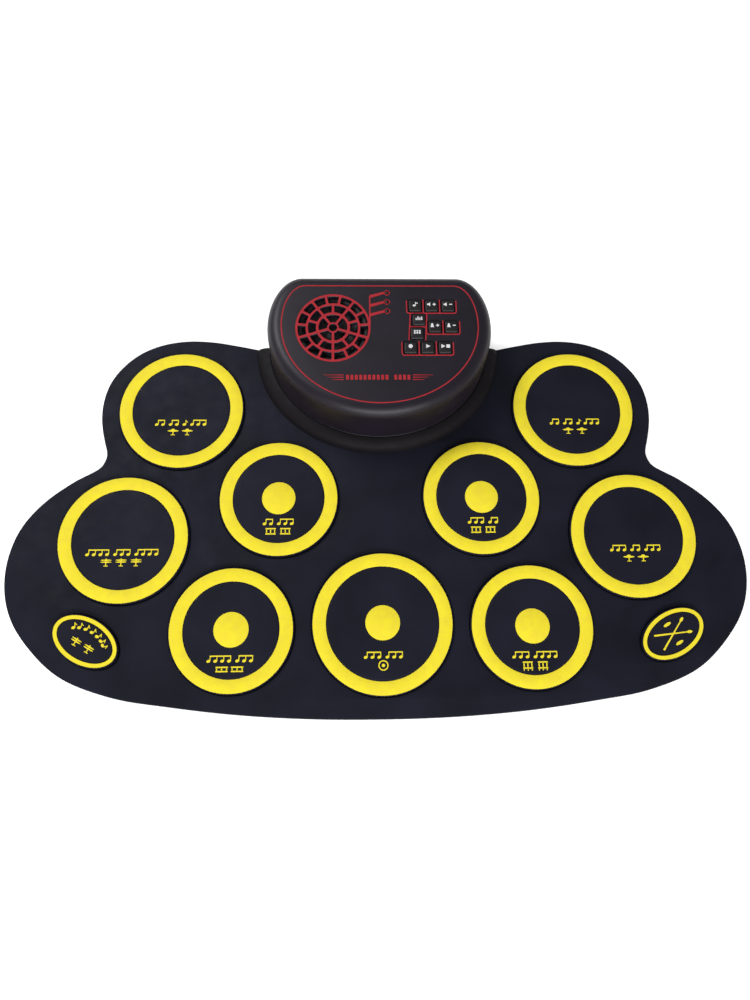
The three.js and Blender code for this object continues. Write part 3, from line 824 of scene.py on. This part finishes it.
def make_top_case():
    inner = rounded_levels(WALL, TOP_Z - WALL, TOP_ROUND - 2, 6)
    outer = rounded_levels(0, TOP_Z, TOP_ROUND, 14)
    foot = SEAM_Z + 0.3
    rebate = [(WALL, foot + 1.5), (WALL - 0.9, foot + 1.5), (WALL - 0.9, foot)]
    levels = list(reversed(inner)) + rebate + [(0.2, foot), (0, foot + 0.2), (0, foot + 10)] + outer
    shell = loft([d_ring(i, z) for i, z in levels])
    case = piece("console_top", shell, CASE, nodes=["top_case"])
    openings = grille_openings() + [key_opening(n) for n in KEYS]
    openings += [circle(*middle(n).xy, LAMP_HOLE_R * MM, 24) for n in LAMPS]
    carve(case, joined(*[flared(loop) for loop in openings]))
    rear = CASE_REAR
    r = JACK_HOLE_R
    holes = [along_y(n, [(0, rear + 3), (r, rear + 3), (r, rear - 6), (0, rear - 6)]) for n in JACKS]
    usb, switch = middle("usb_socket").x / MM, middle("power_switch").x / MM
    holes.append(rear_slot(usb, *USB_SLOT))
    holes.append(rear_slot(switch, *SWITCH_SLOT))
    carve(case, joined(*holes))


def rear_slot(x, wx, wz, r=0.6):
    loop = rounded_rect(x * MM, JACK_Z * MM, wx * MM, wz * MM, r * MM)
    return loft([[(px, y * MM, pz) for px, pz in loop] for y in (CASE_REAR + 3, CASE_REAR - 6)])


make_top_case()


BAY = (-31.5, 31.5, 70, 126)  # battery bay: least and greatest x, then y, mm
FOOT_PIT_R = 5.3  # mm
SCREW_PIT_R = 3.2  # mm


def make_bottom_case():
    floor, top = low("bottom_case").z / MM, SEAM_Z
    lip = [(WALL, top + 1.5), (WALL - 0.7, top + 1.5), (WALL - 0.7, top)]
    outside = [(0.2, top), (0, top - 0.2), (0, floor + 1.2), (0.12, floor + 0.6), (0.4, floor + 0.2),
               (0.9, floor)]
    rings = [(WALL, floor + 2)] + lip + outside
    shell = loft([d_ring(i, z, taper=0) for i, z in rings])
    case = piece("console_bottom", shell, UNDER, nodes=["bottom_case"])
    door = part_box("battery_door")
    dx, dy, dz = door[1].x / MM - 1.2, door[0].y / MM, door[1].z / MM
    x0, x1, y0, y1 = BAY
    carve(case, block(x0 - 6, x1 + 6, y0 - 8, CASE_REAR - 1, floor + 0.4, 5), "UNION")
    carve(case, block(x0 - 1.5, x1 + 1.5, y0 - 1.5, y1 + 1.5, 4, 21.5), "UNION")
    tools = [block(x0, x1, y0, y1, dz + 0.2, 20),
             block(-dx - 0.3, dx + 0.3, dy - 0.3, CASE_REAR + 5, 0, dz + 0.3)]
    carve(case, joined(*tools))
    carve(case, block(-dx - 1.5, dx + 1.5, dy - 0.3, CASE_REAR + 5, floor + 0.6, dz + 0.25))
    feet = [n for n in frame["nodes"] if n.startswith("rubber_foot")]
    screws = [n for n in frame["nodes"] if n.startswith("case_screw")]
    pits = [upright(middle(n).xy, FOOT_PIT_R, 0, 2.1) for n in feet]
    pits += [upright(middle(n).xy, SCREW_PIT_R, 0, 4.1) for n in screws]
    carve(case, joined(*pits))


make_bottom_case()


COLLAR_BEHIND = 0.6  # mm that the collar's ends reach behind the widest line


def make_collar():
    foot = low("collar").z / MM
    half = high("collar").x / MM
    lean = (WIDEST_Y - CASE_FRONT) / CASE_HALF
    inner = CASE_HALF + 0.02
    profile = [(inner, foot), (inner, 11.2), (inner + 0.6, 11.7), (inner + 2.6, 11.4),
               (half - 4.6, 10.6), (half - 2.6, 9.5), (half - 1.2, 8.1), (half - 0.5, 6.6),
               (half - 0.1, 5.2), (half, foot + 0.2), (half - 0.3, foot), (half - 2, foot),
               (half - 2.9, 6.8), (inner + 2.4, 8.6), (inner + 2.4, foot)]
    rings = []
    steps = 120
    end = math.degrees(math.asin(COLLAR_BEHIND / (lean * half)))
    solid = profile[:-4] + [(r, foot) for r, _ in profile[-4:]]  # without the hollow under its arch
    for i in [0, 0.4, 0.8] + list(range(1, steps)) + [steps - 0.8, steps - 0.4, steps]:
        a = math.radians(180 - end + (180 + 2 * end) * i / steps)
        from_end = min(i, steps - i)
        drop = (0.12, 0.03, 0)[int(from_end / 0.4)] if from_end < 0.8 else 0
        section = solid if from_end <= 1 else profile
        rings.append([(r * MM * math.cos(a), (WIDEST_Y + r * lean * math.sin(a)) * MM,
                       (z - (z - foot) * drop) * MM) for r, z in section])
    piece("console_collar", loft(rings), COLLAR, nodes=["collar"])


make_collar()


# ---------- red print on the console ----------
def line(points, width=0.75, closed=False):
    return ribbon([(x * MM, y * MM) for x, y in points], width * MM, TOP_Z * MM, closed=closed)


def frame_line(points, r=1.6, width=0.75):
    """A printed line through corner points, with its corners rounded."""
    path = [points[0]]
    for i in range(1, len(points) - 1):
        p, a, b = Vector(points[i]), Vector(points[i - 1]), Vector(points[i + 1])
        first, last = p + (a - p).normalized() * r, p + (b - p).normalized() * r
        for k in range(7):
            t = k / 6
            path.append(tuple(first * (1 - t) ** 2 + p * 2 * t * (1 - t) + last * t ** 2))
    path.append(points[-1])
    return line(path, width)


def key_frames():
    """Red lines between and under the keys."""
    spot = {n: (middle(n).x / MM, middle(n).y / MM) for n in KEYS}
    reach, below = 5.15, 4.9
    pieces = []
    rows = (["key_demo", "key_volume_up", "key_volume_down"],
            ["key_record", "key_play", "key_start_stop"], ["key_tempo_up", "key_tempo_down"])
    for row in rows:
        y = spot[row[0]][1]
        left, right = spot[row[0]][0] - reach, spot[row[-1]][0] + reach
        pieces.append(frame_line([(left, y + 3.8), (left, y - below), (right, y - below), (right, y + 3.8)]))
        for a, b in zip(row, row[1:]):
            x = (spot[a][0] + spot[b][0]) / 2
            pieces.append(line([(x, y - below), (x, y + 4.4)]))
    (rx, ry), (sx, sy) = spot["key_rhythm"], spot["key_style"]
    for side in (-1, 1):
        pieces.append(line([(rx + side * 5.1, ry + 4.7), (sx + side * 5.1, sy - 4.6)]))
    pieces.append(line([((rx + sx) / 2 - 5, (ry + sy) / 2), ((rx + sx) / 2 + 5, (ry + sy) / 2)], 0.8))
    return pieces


def lamp_marks():
    """A stem beside the grille with a slanting flag to each lamp, and a ring round the lamp."""
    x = SPEAKER.x / MM + GRILLE_R - 0.3
    tops = [middle(n) / MM for n in LAMPS]
    pieces = [line([(x, SPEAKER.y / MM + 2), (x, max(p.y for p in tops) - 2.6)], 0.8)]
    for p in tops:
        flag = [(x, p.y - 3.6), (p.x - 1.9, p.y - 0.9), (p.x - 1.9, p.y + 0.7), (x, p.y - 1.6)]
        pieces.append(printed([[(a * MM, b * MM) for a, b in flag]], TOP_Z * MM))
        tips = ((2.6, 0), (0, 2.4), (-2.6, 0), (0, -2.4))
        diamond = soft_corners([(p.x + a, p.y + b) for a, b in tips], 1.4)
        ring = [[(a * MM, b * MM) for a, b in diamond], circle(p.x * MM, p.y * MM, 1.42 * MM, 24)]
        pieces.append(printed(ring, TOP_Z * MM))
    return pieces


def title_bars():
    """A plain row of bars with three tapering lines at each side, in front of the keys."""
    y, middle_x, pieces = 62.9, -1.7, []
    for k in range(15):
        if k == 10:
            continue
        x = middle_x + (k - 7) * 2.62
        loop = [(a * MM, b * MM) for a, b in rounded_rect(x, y, 1.7, 3.2, 0.3, 2)]
        pieces.append(printed([loop], TOP_Z * MM))
    for side in (-1, 1):
        for k, reach in enumerate((12, 9.4, 6.8)):
            at, level = middle_x + side * 20.7, y + 1.5 - 1.5 * k
            tip = at + side * reach
            wedge = [(at, level - 0.28), (tip, level - 0.1), (tip, level + 0.1), (at, level + 0.28)]
            pieces.append(printed([[(a * MM, b * MM) for a, b in wedge]], TOP_Z * MM))
    return pieces


def make_red_print():
    border = d_loop(60.3, 124.9, 46.5, 46.2, 98.5)
    pieces = [ribbon(border, 0.7 * MM, TOP_Z * MM, closed=True)]
    grille = [circle(SPEAKER.x, SPEAKER.y, GRILLE_R * MM, 120)] + grille_openings(0.3)
    pieces.append(printed(grille, TOP_Z * MM))
    pieces += key_frames() + lamp_marks() + title_bars()
    piece("console_red_print", joined(*pieces), RED)


make_red_print()


# ---------- keys ----------
def key_symbol(name):
    """White symbols of plain shapes, in mm about the key's middle."""
    plus = [rounded_rect(1.7, 0, 2.0, 0.65, 0.15, 2), rounded_rect(1.7, 0, 0.65, 2.0, 0.15, 2)]
    minus = [rounded_rect(1.7, 0, 2.0, 0.65, 0.15, 2)]
    wedge = [(-2.9, -0.5), (-2.1, -0.5), (-0.9, -1.4), (-0.9, 1.4), (-2.1, 0.5), (-2.9, 0.5)]
    metronome = [(-2.9, -1.3), (-0.7, -1.3), (-1.35, 1.4), (-2.25, 1.4)]
    triangle = [(-1.1, -1.4), (1.5, 0), (-1.1, 1.4)]
    symbols = {
        "key_demo": [arc(-0.6, -0.9, 0.95, 0.7, 0, 360, 20)[:-1], rounded_rect(0.25, 0.4, 0.4, 2.4, 0.1, 2),
                     [(0.1, 1.6), (1.7, 0.9), (1.7, 0.3), (0.1, 1.0)]],
        "key_volume_up": [wedge] + plus, "key_volume_down": [wedge] + minus,
        "key_tempo_up": [metronome] + plus, "key_tempo_down": [metronome] + minus,
        "key_rhythm": [rounded_rect(-1.8 + 1.2 * k, (h - 2.6) / 2, 0.75, h, 0.15, 2)
                       for k, h in enumerate((1.4, 2.6, 1.9, 2.4))],
        "key_style": [rounded_rect(x, y, 1.1, 1.1, 0.2, 2) for x in (-1.6, 0, 1.6) for y in (-0.7, 0.7)],
        "key_record": [circle(0, 0, 1.35, 28)],
        "key_play": [triangle],
        "key_start_stop": [[(x - 1.4, y) for x, y in triangle], rounded_rect(1.9, 0, 2.3, 2.3, 0.2, 2)],
    }
    return symbols[name]


def make_key(name):
    c, z = middle(name), high(name).z
    wx, wy = (side * MM for side in KEY_SIZE)
    # Level above the console's top, inset at the sides and rear, inset at the front.
    steps = [(-4.5, 0, 0), (0.0, 0.02, 0.04), (0.35, 0.08, 0.16), (0.75, 0.28, 0.75),
             (1.0, 0.48, 1.3), (1.14, 0.7, 1.62), (1.2, 1.0, 1.95)]
    rings = []
    for level, side, front in steps:
        height = (TOP_Z + level) * MM if level < 1.2 else z
        loop = rounded_rect(0, 0, wx - 2 * side * MM, wy - (side + front) * MM, 0.9 * MM, 6)
        shift = (front - side) / 2 * MM
        rings.append([(c.x + x, c.y + y + shift, height) for x, y in loop])
    piece(name + "_cap", loft(rings), KEY, name, [name], 50)
    place = (c.x, c.y + 0.55 * MM)
    marks = [printed([shape(points, place, size=0.95)], z, 0.05 * MM) for points in key_symbol(name)]
    piece(name + "_symbol", joined(*marks), WHITE, name)


for key_name in KEYS:
    make_key(key_name)


def make_lamp(name):
    top = TOP_Z
    profile = [(0, 39), (1.15, 39), (1.15, top - 0.1), (1.05, top + 0.2), (0.8, top + 0.42),
               (0.4, top + 0.54), (0.05, top + 0.57), (0, top + 0.57)]
    piece(name + "_lens", turned(profile, middle(name).xy, 32), LENS, ROOT, [name], 60)


for lamp_name in LAMPS:
    make_lamp(lamp_name)


# ---------- speaker ----------
def make_speaker():
    """The cone with its rolled edge and dust cap, from (radius, z) pairs in mm."""
    cone = [(0, 33), (7, 33), (19.2, 40.6), (21.2, 41.4), (21.3, 42.1), (20.6, 42.45),
            (19.6, 42.1), (18.8, 41.1), (7.6, 34.7)]
    for k in range(9):
        a = math.radians(10 * k)
        cone.append((6.6 * math.cos(a), 34.7 + 3.0 * math.sin(a)))
    piece("speaker_diaphragm", turned(cone + [(0, 37.7)], SPEAKER, 72), PAPER, ROOT,
          ["speaker_cone"], 50)


make_speaker()


# ---------- rear connectors, feet and screws ----------
JACK_BODY_REAR = 130.3  # mm, where the square body ends and the round sleeve begins


def make_jack(name):
    face = CASE_REAR - 0.6
    barrel = [(1.8, face - 12), (3.0, face - 12), (3.0, face - 0.35), (2.65, face), (2.0, face),
              (1.8, face - 0.25)]
    (x0, y0, z0), (x1, _, z1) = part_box(name)
    shell = block(x0 / MM, x1 / MM, y0 / MM, JACK_BODY_REAR, z0 / MM, z1 / MM)
    pin = [(0, face - 11.8), (1.75, face - 11.8), (1.75, face - 11.4), (0, face - 11.4)]
    piece(name + "_shell", joined(shell, along_y(name, pin)), BLACK, ROOT, [name])
    piece(name + "_sleeve", along_y(name, barrel), STEEL, ROOT)


for jack_name in JACKS:
    make_jack(jack_name)


def make_foot(name):
    r = (high(name).x - low(name).x) / 2 / MM
    profile = [(0, 0.12), (r - 2.2, 0.12), (r - 1.8, 0), (r - 0.5, 0), (r - 0.15, 0.12), (r, 0.45),
               (r, 1.8), (0, 1.8)]
    piece(name + "_pad", turned(profile, middle(name).xy, 48), FOOT, ROOT, [name])


def make_screw(name):
    c = middle(name).xy
    profile = [(0, 1.9), (2.1, 1.9), (2.5, 2.05), (2.75, 2.45), (2.8, 3.8), (1.4, 3.8), (1.4, 15),
               (0, 16)]
    screw = piece(name + "_head", turned(profile, c, 40), STEEL, ROOT, [name])
    x, y = c.x / MM, c.y / MM
    carve(screw, block(x - 1.8, x + 1.8, y - 0.3, y + 0.3, 1, 2.7))
    carve(screw, block(x - 0.3, x + 0.3, y - 1.8, y + 1.8, 1, 2.7))


for node_name in list(frame["nodes"]):
    if node_name.startswith("rubber_foot"):
        make_foot(node_name)
    if node_name.startswith("case_screw"):
        make_screw(node_name)


# ---------- CAD nodes that stay ----------
STAYING = {
    "sensor_film": FILM, "sensor_cable": FILM, "battery_door": UNDER, "dome_sheet": FOOT,
    "main_board": BOARD, "jack_board": BOARD, "sound_chip": BLACK, "amplifier_chip": BLACK,
    "speaker_basket": STEEL, "speaker_magnet": STEEL, "usb_socket": STEEL, "power_switch": BLACK,
    "power_slider": KEY, "spring_contacts": STEEL, "flat_contacts": STEEL,
}
BEVELLED = {"battery_door": 0.25, "usb_socket": 0.12, "power_switch": 0.2, "power_slider": 0.15}


def dress(name, material):
    obj = frame["nodes"][name]
    obj.data.materials.clear()
    obj.data.materials.append(material)
    if name in BEVELLED:
        modifier = obj.modifiers.new("edges", "BEVEL")
        modifier.width = BEVELLED[name] * MM
        modifier.segments = 2
        modifier.limit_method = "ANGLE"
        modifier.angle_limit = math.radians(40)


for node_name, node_material in STAYING.items():
    dress(node_name, node_material)


# ---------- floor and light ----------
def make_stage():
    shader = Shader("floor", 0.9, 0.1)
    shades(shader, 900, "F2F2F3", "F5F5F6")
    shader.set(Emission_Color=(1, 1, 1, 1), Emission_Strength=0.6)
    # The floor ends before it darkens, so that it meets the white world without a line.
    floor = mesh_object("floor", plate([circle(0, 0, 1.5, 128)], -0.03, -0.0004), shader.material)
    world = bpy.data.worlds.new("studio")
    world.use_nodes = True
    nodes, links = world.node_tree.nodes, world.node_tree.links
    place = nodes.new("ShaderNodeTexCoord")
    split = nodes.new("ShaderNodeSeparateXYZ")
    links.new(place.outputs["Generated"], split.inputs[0])
    fade = nodes.new("ShaderNodeMapRange")
    for socket, value in zip(("From Min", "From Max", "To Min", "To Max"), (0.1, 0.9, 0.4, 0.24)):
        fade.inputs[socket].default_value = value
    links.new(split.outputs["Z"], fade.inputs["Value"])
    seen = nodes.new("ShaderNodeMath")
    seen.operation = "MAXIMUM"
    links.new(fade.outputs[0], seen.inputs[0])
    links.new(nodes.new("ShaderNodeLightPath").outputs["Is Camera Ray"], seen.inputs[1])
    nodes["Background"].inputs[0].default_value = (1, 1, 1, 1)
    links.new(seen.outputs[0], nodes["Background"].inputs[1])
    bpy.context.scene.world = world


def soft_light(name, place, size, power, target=(0, 0, 0)):
    data = bpy.data.lights.new(name, "AREA")
    data.shape = "RECTANGLE"
    data.size, data.size_y = size
    data.energy = power
    light = bpy.data.objects.new(name, data)
    light.location = place
    light.rotation_euler = (Vector(target) - Vector(place)).to_track_quat("-Z", "Y").to_euler()
    bpy.context.scene.collection.objects.link(light)


make_stage()
soft_light("key_light", (-0.9, 0.8, 1.35), (0.7, 0.7), 17)
soft_light("front_light", (0.1, -1.45, 0.85), (1.4, 0.5), 24)
bpy.context.scene.view_settings.view_transform = "Standard"
bpy.context.scene.view_settings.look = "None"
